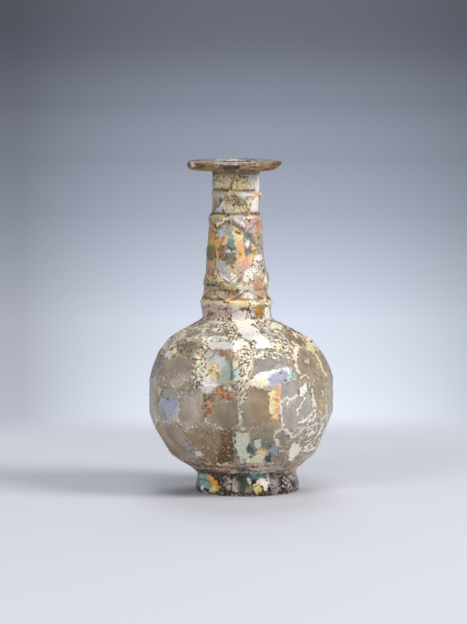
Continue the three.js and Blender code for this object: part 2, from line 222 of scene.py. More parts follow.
# Where the weathering lies on the front: wear, colour, outline as x,y in picture pixels. Later ones lie on top.
# Glass areas give each facet its tone: partly the glass's own colour, partly painted shade and light of how the facet
# faces the lamps.
AREAS = [
    # the whole, from the rim down
    ("pitted", "sand", (180,150, 290,150, 290,320, 180,320)),
    ("crust", "cream", (150,317, 340,317, 340,352, 150,352)), ("dust", "cream", (140,350, 345,350, 345,464, 140,464)),
    ("pitted", "tan", (170,461, 315,461, 315,474, 170,474)),
    # rim
    ("glass", "tea", (180,150, 290,150, 290,174, 180,174)),
    # the silver specks on the rim's top are painted highlights over the dark glass
    ("crumbs", "silver", (184,154, 286,154, 284,162, 262,164, 224,164, 196,163, 184,162)),
    ("film", "tea", (187,164.5, 223,165.5, 223,171, 189,170)),
    ("film", "loden", (205,166, 221,166, 222,169, 206,169)), ("pure", "soot", (223,165, 241,165, 242,170, 224,171)),
    ("crumbs", "brown", (241,164, 273,163, 276,168, 262,171, 241,170)),
    # the cream spot at the rim's left end, on this line, and the white streak on the rim's top, on the next, are
    # painted highlights
    ("film", "tea", (275,160, 283,160, 282,167, 275,168)), ("pure", "cream", (191,163, 194,163, 195,166, 192,167)),
    ("film", "milk", (230,159, 250,158, 254,162, 234,163)),
    # top of the neck
    ("pitted", "oat", (212,172, 233,174, 231,186, 222,194, 212,192)),
    ("pitted", "oat", (214,174, 224,174, 226,186, 218,190)),
    ("pitted", "mauve", (210,176, 216,178, 219,193, 210,193)),
    ("pitted", "straw", (234,179, 241,175, 247,176, 247,186, 241,192, 232,190, 232,184)),
    ("pitted", "lemon", (236,178, 244,177, 245,186, 238,188)),
    ("film", "pearl", (246,174, 262,173, 262,191, 246,191, 250,182)),
    ("film", "mint", (250,175, 255,175, 255,190, 251,190)),
    # under the first ridge
    ("pitted", "oat", (222,194, 242,194, 248,206, 250,214, 214,214, 220,204)),
    ("pitted", "khaki", (226,196, 240,196, 244,206, 226,204)),
    ("pitted", "sage", (210,193, 223,193, 222,198, 214,209, 211,204)),
    ("pitted", "orange", (211,203, 217,203, 214,210, 211,210)),
    ("film", "lilac", (218,205, 223,202, 224,210, 217,212)),
    ("film", "sky", (240,193, 246,191, 249,195, 246,199, 241,197)),
    ("pure", "slate", (247,192, 254,193, 251,197, 247,197)),
    ("film", "milk", (252,199, 262,197, 262,212, 250,213, 249,209)),
    # tall panels
    ("pitted", "sand", (200,214, 268,214, 268,284, 200,284)),
    ("pitted", "sand", (209,215, 227,215, 228,220, 216,228, 210,222)),
    ("pitted", "sage", (215,218, 219,218, 219,222, 215,223)),
    ("pitted", "silver", (229,215, 246,215, 246,229, 236,223)),
    ("pitted", "orange", (207,222, 216,226, 218,232, 214,235, 207,233)),
    ("pitted", "gold", (207,233, 218,237, 226,238, 227,242, 221,250, 220,258, 213,262, 205,258)),
    ("pitted", "olive", (205,246, 214,246, 216,258, 206,258)),
    ("pitted", "apricot", (220,239, 226,238, 227,246, 221,248)),
    ("film", "sky", (218,231, 224,227, 225,234, 220,237)),
    ("pitted", "brown", (220,246, 227,248, 226,262, 219,260)),
    ("pitted", "sage", (229,221, 232,228, 233,241, 234,249, 227,249, 228,240, 225,231)),
    ("pitted", "teal", (227,240, 232,240, 234,249, 227,250)),
    ("pitted", "dusk", (227,253, 234,252, 236,261, 233,266, 227,265, 225,260)),
    ("film", "lemon", (232,233, 236,230, 240,233, 245,240, 244,250, 239,248, 235,243)),
    ("pure", "apricot", (236,240, 245,241, 246,250, 249,256, 252,262, 246,265, 239,262, 240,254, 237,249)),
    ("pitted", "mauve", (246,215, 262,215, 261,228, 255,234, 245,231)),
    ("pitted", "apricot", (246,214, 251,214, 251,221, 247,221)),
    ("pitted", "tan", (256,217, 261,217, 261,240, 256,236)),
    ("pitted", "slate", (244,232, 252,234, 256,245, 253,252, 247,256, 245,246)),
    ("pure", "milk", (246,239, 250,243, 248,247, 246,244)), ("film", "apricot", (251,244, 255,247, 257,253, 252,250)),
    ("pitted", "grey", (256,236, 266,236, 268,272, 257,272)),
    ("pure", "pearl", (255,256, 261,255, 261,261, 256,262)), ("crumbs", "milk", (251,260, 263,260, 263,271, 250,271)),
    ("pure", "salmon", (234,267, 240,261, 252,261, 251,266, 241,269)),
    ("film", "mauve", (236,269, 248,268, 247,273, 237,272)),
    ("pitted", "tan", (200,259, 213,260, 214,276, 200,278)),
    ("film", "silver", (214,263, 221,260, 231,272, 231,283, 219,273)),
    ("pure", "pearl", (232,273, 238,275, 237,280, 234,283, 231,279)),
    ("pitted", "slate", (238,280, 246,272, 245,276, 238,283)),
    ("pitted", "milk", (245,270, 258,268, 258,279, 244,281)),
    ("film", "pearl", (263,274, 270,273, 270,282, 263,282)),
    ("film", "deep teal", (263,270, 270,270, 269,274, 263,274)),
    # third ridge and the row under it
    ("pitted", "khaki", (200,278, 214,282, 234,284, 256,281, 256,285, 234,287, 214,286, 200,284)),
    ("pitted", "khaki", (202,286, 222,287, 225,296, 214,300, 202,300)),
    ("film", "mint", (213,296, 221,296, 222,301, 213,301)),
    ("pitted", "brown", (224,292, 240,291, 244,297, 241,300, 226,300)),
    ("pitted", "cream", (236,285, 252,285, 254,304, 246,304, 242,294)),
    ("film", "lilac", (249,286, 254,286, 256,297, 250,296)),
    ("film", "tan", (253,276, 264,280, 267,296, 259,299, 254,291)),
    # fourth ridge and the foot of the neck
    ("pitted", "straw", (198,300, 227,300, 227,304, 198,305)),
    ("film", "apricot", (223,300, 232,298, 243,298, 249,304, 248,310, 242,306, 234,304)),
    ("pitted", "rose", (198,305, 232,305, 233,318, 198,320)),
    ("film", "mauve", (204,306, 216,306, 214,316, 204,317)), ("pure", "olive", (208,312, 213,312, 212,317, 208,316)),
    ("film", "lilac", (232,309, 236,306, 243,309, 247,320, 232,321)),
    ("film", "mint", (234,306, 241,306, 242,310, 235,310)), ("crust", "lilac", (246,308, 258,308, 258,321, 247,321)),
    ("crust", "cream", (256,302, 276,302, 278,322, 256,322)), ("film", "pearl", (264,309, 271,309, 272,317, 265,317)),
    ("pure", "amber", (254,311, 259,303, 264,302, 264,308, 261,317, 256,316)),
    # shoulder
    ("crust", "cream", (186,320, 236,319, 238,334, 186,338)),
    ("film", "milk", (232,319, 253,319, 257,326, 262,332, 240,332, 236,326)),
    ("pure", "lilac", (239,333, 258,331, 264,335, 269,341, 256,342, 246,339)),
    ("film", "milk", (204,322, 214,320, 224,321, 218,325, 206,326)),
    ("film", "mint", (201,336, 229,336, 229,340, 201,340)), ("crumbs", "grey", (186,332, 226,332, 226,336, 186,337)),
    ("film", "lilac", (208,342, 234,341, 236,352, 226,350, 210,348)),
    # the pearl patches here and on the next line are painted highlights on the shoulder facets
    ("pure", "pearl", (233,341, 242,340, 251,344, 250,349, 238,355, 234,352)),
    ("film", "pearl", (252,342, 256,342.5, 269,341.5, 281,343, 280,350, 258,347)),
    ("film", "mint", (271,341, 277,342, 276,347, 271,346)),
    ("pitted", "lemon", (275,345, 281,346, 280,350, 275,350)),
    ("crumbs", "khaki", (178,342, 200,342, 200,358, 180,358)),
    ("film", "lilac", (164,349, 172,350, 171,358, 165,358)), ("film", "lemon", (172,349, 177,349, 177,356, 173,355)),
    ("crumbs", "cream", (254,320, 278,318, 292,328, 286,340, 272,336, 262,330)),
    ("film", "mint", (269,324, 281,323, 282,329, 272,329)), ("glass", "dusk", SHOULDER_RIGHT),
    ("dust", "sand", SHOULDER_RIGHT),
    # upper facets, left
    ("dust", "violet", (152,356, 163,354, 164,372, 152,378)),
    ("glass", "fawn", (169,360, 192,358, 195,369, 190,377, 178,390, 165,377, 166,364)),
    ("dust", "cream", (166,369, 177,368, 180,386, 168,386)), ("film", "teal", (153,378, 158,377, 158,386, 154,386)),
    ("crust", "cream", (194,352, 203,349, 206,363, 211,368, 208,378, 201,388, 196,388, 190,382, 192,371)),
    ("pitted", "oat", (205,361, 219,361, 222,372, 210,372)),
    ("film", "silver", (205,353, 211,350, 219,350, 219,361, 211,363, 206,360)),
    ("film", "brown", (219,350, 225,350, 233,359, 231,362, 219,359)),
    ("film", "sage", (222,361, 231,361, 233,378, 229,387, 217,389, 216,382, 221,370)),
    ("film", "sky", (217,358, 224,358, 225,366, 219,368)),
    ("film", "lagoon", (229,361, 234,360, 235,380, 230,380, 231,370)),
    ("film", "primrose", (234,360, 238,360, 238,369, 234.5,370)),
    ("pure", "sky", (234,369, 241,367, 241,380, 235,380)),
    ("pitted", "olive", (217,385, 229,383, 231,390, 218,391)),
    ("pitted", "gold", (209,370, 214,369, 216.5,378, 215,382, 210,375)),
    ("pure", "lilac", (209,374.5, 217,386, 211,395, 203,394, 200.5,386)),
    ("crumbs", "cream", (225,387, 242,386, 242,395, 228,393)),
    ("pitted", "rust", (213,390, 223,389, 233,395, 236,401, 225,401, 215,397)),
    # upper facets, right
    ("crust", "cream", (240,348, 254,346, 256,362, 250,374, 238,384, 240,362)),
    ("crumbs", "milk", (252,349, 278,350, 284,360, 254,362)),
    ("glass", "smoke", (255,360, 284,358, 291,367, 282,369, 258,373, 252,368)),
    # the pearl patch is white film, painted as bright as a highlight
    ("film", "pearl", (247,384, 255,376, 261,372, 272,370, 291,367, 292,376, 286,383, 268,386, 262,389, 255,387)),
    ("film", "primrose", (253,381, 264,379, 267,384, 262,388, 256,387)),
    ("film", "sky", (267,379, 280,371, 292,369, 289,383, 279,386, 269,386)),
    ("film", "violet", (270,378, 281,373, 290,371, 287,381, 279,384, 271,384)),
    ("film", "aqua", (290,374, 297,374, 297,379, 291,379)), ("crumbs", "cream", (277,340, 296,342, 296,362, 284,356)),
    ("film", "cream", (294,348, 299,344, 298,356, 297,366, 301,375, 298,374, 294,364)),
    ("glass", "taupe", (300,346, 312,354, 317,366, 314,373, 301,373, 297,364)),
    ("pure", "rose", (304,359, 308,358, 310,363, 306,365)),
    ("film", "straw", (306,342, 312,344, 316,350, 313,356, 311,350)),
    ("dust", "grey", (302,372, 322,371, 322,379, 303,379)), ("flakes", "sand", (316,352, 338,352, 338,414, 318,414)),
    # belly facets
    ("dust", "lilac", (146,378, 160,384, 160,412, 148,412)), ("film", "straw", (157,388, 162,388, 162,398, 158,398)),
    ("film", "violet", (163,388, 180,393, 180,412, 176,425, 169,425, 159,413, 158,402, 160,397)),
    ("film", "sage", (163,388, 180,393, 180,399, 170,399, 162,396)),
    ("film", "sage", (159,406, 163,408, 168,420, 164,420, 159,413)),
    ("film", "silver", (170,415, 180,412, 178,430, 172,426)), ("dust", "lilac", (179,394, 185,394, 185,430, 179,430)),
    ("glass", "fawn", (184,398, 201,391, 204,402, 201,418, 195,425, 185,428)),
    ("crumbs", "olive", (202,394, 215,394, 215,402, 203,402)),
    ("crumbs", "orange", (202,402, 215,403, 216,409, 210,416, 203,417, 200,411)),
    ("glass", "dusk", (217,405, 236,402, 240,411, 237,427, 223,430, 213,422, 211,416)),
    ("crumbs", "cream", (235,384, 250,382, 248,402, 243,402, 244,430, 238,430, 238,402)),
    ("glass", "moss", (242,402, 253,404, 253,428, 243,428)),
    ("glass", "bronze", (249,388, 267,389, 270,402, 270,417, 261,426, 253,428, 251,407)),
    ("film", "lemon", (269,393, 276,388, 278,402, 275,417, 269,412)),
    ("film", "apricot", (276,386, 282,384, 282,402, 278,418, 280,425, 273,418, 276,402)),
    ("film", "rose", (262,387, 280,385, 280,389, 264,391)), ("dust", "apricot", (258,428, 270,419, 279,428, 277,433)),
    ("glass", "smoke", (282,384, 297,382, 313,381, 315,418, 297,432, 283,429, 280,411)),
    ("dust", "blue", (279,408, 293,409, 292,421, 281,422)),
    ("pure", "milk", (300,387, 306,384, 308,388, 306,393, 301,397, 299,391)),
    ("pure", "cream", (311,388, 314,388, 315,398, 317,407, 313,406, 311,398)),
    # lower facets
    ("glass", "bronze", (156,428, 171,428, 182,446, 183,456, 170,452, 160,440)),
    ("dust", "orange", (171,440, 177,442, 184,452, 180,456)),
    ("dust", "silver", (169,421, 182,421, 182,432, 170,431)), ("glass", "bronze", LOW_FACET),
    ("dust", "straw", LOW_FACET),
    ("crumbs", "silver", (183,440, 193,441, 202,451, 203,457, 197,460, 187,456, 184,447)),
    ("film", "mint", (196,450, 202,452, 203,457, 197,459)),
    ("crumbs", "brown", (224,432, 232,429, 236,440, 234,453, 237,458, 228,464, 217,462, 223,449)),
    ("glass", "umber", (220,432, 232,430, 235,450, 230,464, 214,464, 222,446)),
    ("crumbs", "brown", (218,432, 232,430, 234,450, 226,462, 216,462, 224,446)),
    ("dust", "gold", (222,434, 233,432, 235,450, 228,462, 214,462, 222,450)),
    ("glass", "moss", (249,434, 272,432, 276,448, 262,450, 250,446)),
    ("film", "celadon", (235,434, 239,430, 248,434, 249,441, 247,450, 253,455, 257,452, 260,448, 266,447, 269,452,
        265,457, 264,463, 240,463, 236,452, 233,442)),
    ("pure", "mint", (236,434, 240,432, 247,435, 248,441, 246,449, 250,457, 244,461, 238,456, 235,444)),
    ("pure", "primrose", (246,458, 254,456, 259,451, 266,450, 266,456, 263,462, 246,462)),
    ("pure", "apricot", (257,447.5, 265,447, 269,450, 268,455, 266,456, 265,451, 258,449.5)),
    ("pure", "mint", (253,440, 258,438.5, 262,441, 261,446, 257,449, 253,446)),
    ("pure", "deep teal", (246,450, 249,444.5, 255,450, 253.5,454, 248,453)),
    ("film", "teal", (261,441, 266,443, 268,448, 262,447.5)),
    ("film", "blue", (270,446, 276,444, 278,452, 273,457, 269,452)),
    ("film", "deep teal", (266,456, 271,455, 271,462, 266,462)),
    ("film", "grey", (280,432, 290,432, 290,437, 281,437)),
    ("pure", "milk", (288,451, 293,443, 299,443, 301,449, 296,457, 292,461, 288,459)),
    ("flakes", "milk", (300,414, 338,406, 330,440, 312,456, 300,462, 302,446, 292,436)),
    # pad above the foot
    ("pure", "umber", (194,469, 217,468, 217,474, 194,476)), ("film", "teal", (234,467, 246,467, 246,472, 234,472)),
    ("film", "lilac", (265,464, 283,463, 284,468, 265,469)), ("pure", "milk", (248,468, 266,467, 266,470, 248,471)),
    # foot
    ("glass", "soot", FOOT_BAND), ("dust", "slate", FOOT_BAND),
    ("pure", "soot", (190,476, 204,474, 206,496, 190,494)), ("film", "aqua", (199,474, 209,474, 208,479, 200,480)),
    ("film", "aqua", (198,485, 201,480, 208,480, 211,487, 207,489, 203,484)),
    ("pure", "saffron", (208,475, 212,475, 217,482, 221,488, 215,492, 209,491, 212,484, 208,480)),
    ("pure", "lemon", (210,488, 215,487, 215,491, 209,491)),
    ("crumbs", "mauve", (221,476, 230,476, 231,484, 222,485)),
    ("pitted", "grey", (231,482, 237,475, 240,482, 237,489, 240,494, 233,492)),
    ("pure", "bottle", (235,476, 246,475, 250,480, 248,486, 252,490, 249,494, 243,493, 238,486)),
    ("film", "mint", (247,479, 251,478, 250,484, 248,484)), ("pure", "olive", (246,488, 252,488, 252,492, 246,493)),
    ("pure", "jade", (246,474, 264,473, 266,477, 258,480, 250,478)),
    ("film", "blue", (251,473, 258,473, 257,476, 252,476)), ("film", "lilac", (265,474, 269,474, 270,485, 267,484)),
    ("pure", "milk", (257,481, 262,477, 267,481, 268,488, 265,491, 263,486, 258,485)),
    ("pitted", "straw", (253,485, 259,484, 262,489, 258,495, 254,492)),
    ("pure", "gold", (258,489, 263,489, 262,493, 258,493)),
    ("pitted", "slate", (269,476, 278,475, 279,486, 277,494, 271,494)),
    ("dust", "rose", (278,473, 286,473, 286,486, 278,488)),
    ("crumbs", "silver", (284,476, 303,472, 302,487, 288,491, 284,486)),
    ("pure", "soot", (290,481, 296,480, 296,488, 291,488)),
    ("ragged", "milk", (204,492, 232,495, 262,497, 292,492, 292,495, 262,500, 232,499, 204,496)),
]

# Thin lines of crust, dirt and film, and lines of painted shadow and highlight: colour, width, points
LINES = [
    # neck
    # the cream line under the rim is a painted highlight
    ("brown", 2.2, (237,171, 233,180, 231,189)), ("cream", 1.2, (222,173.5, 233,174)),
    ("umber", 1.5, (229,188, 223,195, 220,202, 216,209, 213,213)), ("umber", 1.2, (231,188, 236,191)),
    # the dark lines along the second ridge, here and on the next line, are painted shadow
    ("umber", 1.2, (242,199, 246,205, 249,212)), ("soot", 1.8, (208,215, 214,214, 222,213)),
    ("umber", 1.4, (250,214, 258,215, 261,216)), ("soot", 1.3, (209,218, 216,228)),
    # at the chevron ledges, here and on the next line, the dark lines are painted shadow and the pearl lines painted
    # highlight
    ("pearl", 1.2, (216,226, 226,219)), ("umber", 1.8, (217,229, 227,221)), ("soot", 1.5, (226,217, 230,216)),
    ("olive", 2.4, (231,220, 244,230)), ("pearl", 1.3, (234,218, 245,225)), ("umber", 1.0, (233,223, 245,232)),
    # the last pearl line, on the lower chevron's edge, is a painted highlight
    ("umber", 2.6, (236,232, 240,234)), ("pearl", 1.6, (226,251, 234,251)), ("pearl", 1.6, (220,275, 230,282)),
    # the level dark lines at the third and fourth ridges, here and on the next line, are painted shadow
    ("umber", 1.0, (221,288, 226,294)), ("soot", 1.4, (208,284, 218,286)), ("umber", 1.0, (254,304, 262,299)),
    ("soot", 2.0, (268,299, 272,298)), ("umber", 1.0, (204,304, 226,304)),
    # shoulder
    ("umber", 0.9, (186,331, 200,328, 215,327, 228,330)), ("umber", 1.0, (190,341, 205,338, 222,339, 232,342)),
    ("umber", 0.8, (200,322, 215,320, 228,322)), ("soot", 1.6, (232,327, 237,333, 242,338, 251,343, 252,348)),
    ("umber", 1.5, (252,348, 262,349, 276,351)),
    ("soot", 1.6, (252,324, 258,328, 264,333, 274,337, 282,339, 290,344)),
    ("umber", 1.0, (262,327, 270,332, 281,335)), ("soot", 1.4, (276,329, 284,334, 290,340, 294,347)),
    ("umber", 1.0, (268,319, 278,322, 290,326, 300,331)), ("cream", 1.4, (291,329, 296,334, 295,338)),
    ("cream", 1.2, (299,334, 304,337, 306,341)), ("soot", 1.3, (287,330, 294,338, 299,345)),
    ("slate", 1.2, (296,329, 304,334, 311,342)), ("cream", 1.2, (253,358, 250,368, 246,376, 243,383)),
    ("umber", 0.9, (255,356, 252,367, 247,378)), ("cream", 1.3, (315,350, 319,360, 323,368, 328,376)),
    # the soot line along the cream one is a painted shadow
    ("soot", 0.9, (317,350, 322,361, 327,370)), ("slate", 1.0, (192,335, 208,333, 224,334)),
    # facets
    ("orange", 1.4, (200,353, 202,361)), ("brown", 1.0, (205,349, 219,350, 228,353, 233,359)),
    ("orange", 1.6, (235,360, 237,354, 241,350)), ("teal", 1.0, (210,361, 216,351)),
    ("cream", 1.6, (301,378, 305,375, 310,378)), ("cream", 1.2, (318,355, 321,362, 325,370)),
    # the pearl strokes, here and on the next lines, are white flakes made as bright as glints, partly painted
    # highlight
    ("pearl", 1.6, (282,401, 286,398, 290,400, 288,408)), ("pearl", 1.6, (292,400, 297,396, 301,396)),
    ("pearl", 1.6, (304,399, 301,406, 297,410, 298,414)), ("pearl", 1.7, (299,424, 304,420, 309,418, 314,411)),
    ("pearl", 1.4, (280,404, 281,420, 284,429)), ("umber", 0.8, (272,398, 276,401, 279,398)),
    ("milk", 2.6, (273,438, 275,432, 281,430, 288,433, 292,438)), ("milk", 2.4, (274,440, 278,442, 277,446)),
    ("cream", 1.4, (292,438, 298,434, 303,428)), ("milk", 1.3, (303,452, 309,450, 316,447)),
    # pad and foot
    # on the pad, the dark lines are painted shadow under its moulding and the cream lines painted highlight on its
    # ridges
    ("umber", 1.0, (184,465, 200,466, 230,468, 262,467)), ("brown", 1.0, (188,468, 215,470, 260,472, 296,468)),
    ("cream", 1.0, (190,466.5, 210,468, 236,469)), ("umber", 0.9, (206,471, 232,473, 262,473, 290,470)),
    ("brown", 0.9, (262,466, 284,464, 300,461)), ("cream", 0.9, (270,471, 288,468)),
    ("soot", 1.2, (200,480, 205,479, 209,482)), ("pearl", 2.6, (202,486, 203,488)),
    # flakes low on the right: the pearl strokes are white flakes made as bright as glints, partly painted highlight,
    # and the soot strokes are painted shadow beside them
    ("cream", 1.6, (309,430, 306,436)), ("pearl", 2.3, (313,431, 309,435)),
    ("pearl", 1.5, (318,422, 313,425, 310,427)), ("cream", 1.4, (325,415, 323,419, 321,422)),
    ("pearl", 1.7, (321,429, 319,434, 316,437)), ("cream", 1.5, (316,442, 313,443, 310,446)),
    ("pearl", 2.1, (315,447, 310,450, 305,452)), ("pearl", 1.5, (309,443, 305,448)),
    ("cream", 1.5, (330,406, 328,409, 327,412)), ("lilac", 1.9, (303,437, 299,442)),
    ("pearl", 1.5, (316,413, 313,418, 308,422)), ("cream", 1.7, (285,449, 280,452)),
    ("pearl", 1.3, (324,424, 321,427)), ("soot", 0.9, (308,432, 304,438, 300,441)), ("soot", 0.9, (317,433, 312,440)),
    ("soot", 1.0, (319,418, 311,424)),
    # pad again
    # more painted shadow and highlight lines on the pad
    ("umber", 1.2, (182,461, 196,464, 218,466)), ("soot", 1.0, (196,470, 214,473, 232,474)),
    ("cream", 1.0, (232,471, 250,473, 272,471)), ("soot", 0.9, (240,470, 262,470, 286,466)),
    ("milk", 1.0, (266,469, 282,467)), ("umber", 1.1, (176,458, 186,463)),
    ("cream", 0.9, (216,464, 240,466, 264,465)),
    # left shoulder, and the edge of the foot
    ("umber", 1.0, (192,326, 206,323, 220,324)), ("soot", 0.9, (196,331, 206,331, 214,333)),
    ("umber", 1.0, (176,343, 186,337, 196,333)), ("umber", 0.9, (170,350, 178,344, 190,342)),
    ("soot", 1.6, (196,494, 215,497, 245,498, 275,497, 298,492)),
]

# Patches on the neck's unseen sides: seed, colour
SIDE_PATCHES = ((81, "rose"), (82, "apricot"), (83, "silver"), (84, "sage"))


def linear(rgb):
    """From picture values to linear light."""
    c = np.asarray(rgb, float) / 255
    return np.where(c <= 0.04045, c / 12.92, ((c + 0.055) / 1.055) ** 2.4)


def in_picture(p):
    """Where points show in the picture, and how far they lie beyond its outline.

    The back takes the front turned half round, and the sides are unrolled outwards.
    """
    tilt = math.radians(CAMERA_TILT)
    focal = LENS / SENSOR * PICTURE_H
    forward = np.array([0, math.cos(tilt), -math.sin(tilt)])
    up = np.array([0, math.sin(tilt), math.cos(tilt)])
    eye = np.array([0, 0, AIM_Z]) - CAMERA_BACK * forward
    across, deep = (p[:, 0] - sideways(p[:, 2])) * np.where(p[:, 1] > 0, -1, 1), np.abs(p[:, 1])
    turn = np.arctan2(np.abs(across), deep)
    past = np.maximum(turn - math.radians(UNROLL_FROM), 0)
    unrolled = np.sin(np.minimum(turn, math.radians(UNROLL_FROM))) + UNROLL_RATE * past
    across = np.sign(across) * np.hypot(across, deep) * unrolled
    seen = np.stack([across + sideways(p[:, 2]), -deep, p[:, 2]], axis=1) - eye
    depth = seen @ forward
    x, y = AIM_X_PX + focal * seen[:, 0] / depth, AIM_Y_PX - focal * (seen @ up) / depth
    return x, y, smooth(UNSEEN_FROM, UNSEEN_TO, unrolled)


def near_to(x, y, points, closed):
    """Distance of places x, y from a run of straight lines, and whether they lie inside it."""
    corners = np.array(points, float).reshape(-1, 2)
    ends = np.roll(corners, -1, 0) if closed else corners[1:]
    nearest, inside = np.full(len(x), 1e9), np.zeros(len(x), bool)
    for (ax, ay), (bx, by) in zip(corners, ends):
        along = np.clip(((x - ax) * (bx - ax) + (y - ay) * (by - ay)) / ((bx - ax) ** 2 + (by - ay) ** 2), 0, 1)
        nearest = np.minimum(nearest, np.hypot(x - ax - along * (bx - ax), y - ay - along * (by - ay)))
        if by != ay:
            inside ^= ((ay > y) != (by > y)) & (x < (bx - ax) * (y - ay) / (by - ay) + ax)
    return nearest, inside


def around(x, y, points):
    """Which places lie in or near the points' box."""
    xs, ys = points[0::2], points[1::2]
    return np.flatnonzero(
        (x > min(xs) - MARGIN) & (x < max(xs) + MARGIN) & (y > min(ys) - MARGIN) & (y < max(ys) + MARGIN)
    )


def weather(p, arris, crease_shade, crest_highlight):
    """The state of the surface at points p in millimetres, as one value or colour per point."""
    x, y, unseen = in_picture(p)
    z = p[:, 2]
    behind = smooth(-12, 25, p[:, 1])
    wander = WANDER + WANDER_BEHIND * behind
    x = x + wander * (2 * cloudy(p, 6.0, 11) - 1) + FRAY * (2 * noise(p, 1.1, 21) - 1)
    y = y + wander * (2 * cloudy(p, 6.0, 15) - 1) + FRAY * (2 * noise(p, 1.1, 25) - 1)
    count = len(p)
    film = np.tile(linear(COLOURS["cream"]), (count, 1))
    haze_and_facet_shade = np.tile(linear(COLOURS["taupe"]) * HAZE_GAIN, (count, 1))
    cover, pits, gleam, flake = np.full(count, 0.3), np.full(count, 0.1), np.zeros(count), np.zeros(count)
    for wear, colour, outline in AREAS:
        at = around(x, y, outline)
        reach, inside = near_to(x[at], y[at], outline, True)
        reach = np.where(inside, reach, -reach)
        lies = smooth(-SOFT_EDGE, SOFT_EDGE, reach)
        blur = min(max(0.4 * reach.max(initial=0), 0.6), 4)
        for values, to in zip((cover, pits, gleam, flake), WEAR[wear]):
            values[at] += (to - values[at]) * lies
        if WEAR[wear][0] > 0.9:  # whole films have broken dark edges in places, a painted shadow of the film's step
            edge = 0.55 * smooth(1.0, 0.2, abs(reach)) * smooth(0.42, 0.6, cloudy(p[at], 4.0, 71))
            pits[at] = np.maximum(pits[at], edge)
        tinted = haze_and_facet_shade if wear == "glass" else film
        hue = linear(COLOURS[colour]) * (HAZE_GAIN if wear == "glass" else 1)
        tinted[at] += (hue - tinted[at]) * smooth(-SOFT_EDGE - 0.8 * blur, 0.6 * blur, reach)[:, None]
    for seed, colour in SIDE_PATCHES:
        patch = unseen * smooth(0.54, 0.60, cloudy(p, 5.0, seed)) * smooth(80, 86, z) * smooth(161, 159, z)
        film += (linear(COLOURS[colour]) - film) * patch[:, None]
    # Dust lies along the globe's arrises, and the globe's back is barer
    lined = arris * smooth(0.35, 0.65, cloudy(p, 9.0, 51)) * (cover < 0.45)
    film += (linear(COLOURS["cream"]) - film) * lined[:, None]
    cover += (np.maximum(cover, 0.5) - cover) * lined
    bared = smooth(0, 14, p[:, 1]) * smooth(15, 18, z) * smooth(84, 76, z)
    cover += (0.12 + 0.8 * smooth(0.56, 0.62, cloudy(p, 11.0, 61)) - cover) * bared
    for colour, width, points in LINES:
        at = around(x, y, points)
        lies = smooth(-0.55, 0.45, width / 2 - near_to(x[at], y[at], points, False)[0])
        film[at] += (linear(COLOURS[colour]) - film[at]) * lies[:, None]
        cover[at] += (1 - cover[at]) * lies
        pits[at] *= 1 - lies
    # On the neck, crests get a painted highlight and creases a painted shade of umber
    film += (linear(COLOURS["cream"]) - film) * (0.5 * crest_highlight)[:, None]
    pits *= 1 - 0.7 * crest_highlight
    film += (linear(COLOURS["umber"]) - film) * (0.8 * crease_shade)[:, None]
    cover += (np.maximum(cover, 0.8) - cover) * crease_shade
    return film, haze_and_facet_shade, cover, pits, gleam, flake


def angles_between(directions):
    """How sharply the skin turns at each point of a grid, in degrees."""
    sharpest = 0
    for axis in (0, 1):
        for step in (-1, 1):
            turn = np.sum(directions * np.roll(directions, step, axis), axis=2)
            sharpest = np.maximum(sharpest, np.degrees(np.arccos(np.clip(turn, -1, 1))))
    return sharpest


UV_GAP = 4  # millimetres left free at each end of the UV map's two parts


def unwrap(mesh, outer, inner):
    """A UV map that runs once round the bottle and along its outside, then its inside."""
    lengths = []
    for grid in (outer, inner):
        steps = np.linalg.norm(np.diff(grid, axis=0), axis=2).mean(1)
        lengths.append(np.concatenate([[0], np.cumsum(steps)]))
    total = lengths[0][-1] + lengths[1][-1] + 3 * UV_GAP
    up = np.concatenate([np.repeat((lengths[0] + UV_GAP) / total, COLUMNS),
                         np.repeat((lengths[0][-1] + lengths[1] + 2 * UV_GAP) / total, INNER_COLUMNS), [0, 1]])
    round_ = np.concatenate([np.tile(np.arange(COLUMNS) / COLUMNS, len(outer)),
                             np.tile(np.arange(INNER_COLUMNS) / INNER_COLUMNS, len(inner)), [0.5, 0.5]])
    layer = mesh.uv_layers.new(name="OFBake")
    corners = np.empty(len(mesh.loops), np.int32)
    mesh.loops.foreach_get("vertex_index", corners)
    u, v = round_[corners], up[corners]
    for face in mesh.polygons:  # faces across the seam run on past 1
        span = slice(face.loop_start, face.loop_start + face.loop_total)
        if u[span].max() - u[span].min() > 0.6:
            u[span] = np.where(u[span] < 0.2, u[span] + 1, u[span])
    layer.data.foreach_set("uv", np.stack([u, v], axis=1).astype(np.float32).ravel())


# Scabs of crust that break the shoulder's outline: middle, radius and height in millimetres
SCABS = (
    ((25.4, -2.0, 81.2), 3.8, 1.1), ((29.4, -3.0, 79.2), 3.6, 1.2), ((34.6, -2.0, 75.6), 3.6, 0.9),
    ((32.0, 2.0, 77.4), 3.0, 0.6), ((-39.0, -2.0, 73.6), 2.4, 0.7),
)
# In millimetres: swell of the skin, roughness of the crust, thickness of the film
SWELL, CRUST_ROUGH, FILM_THICK = 0.06, 0.4, 0.10


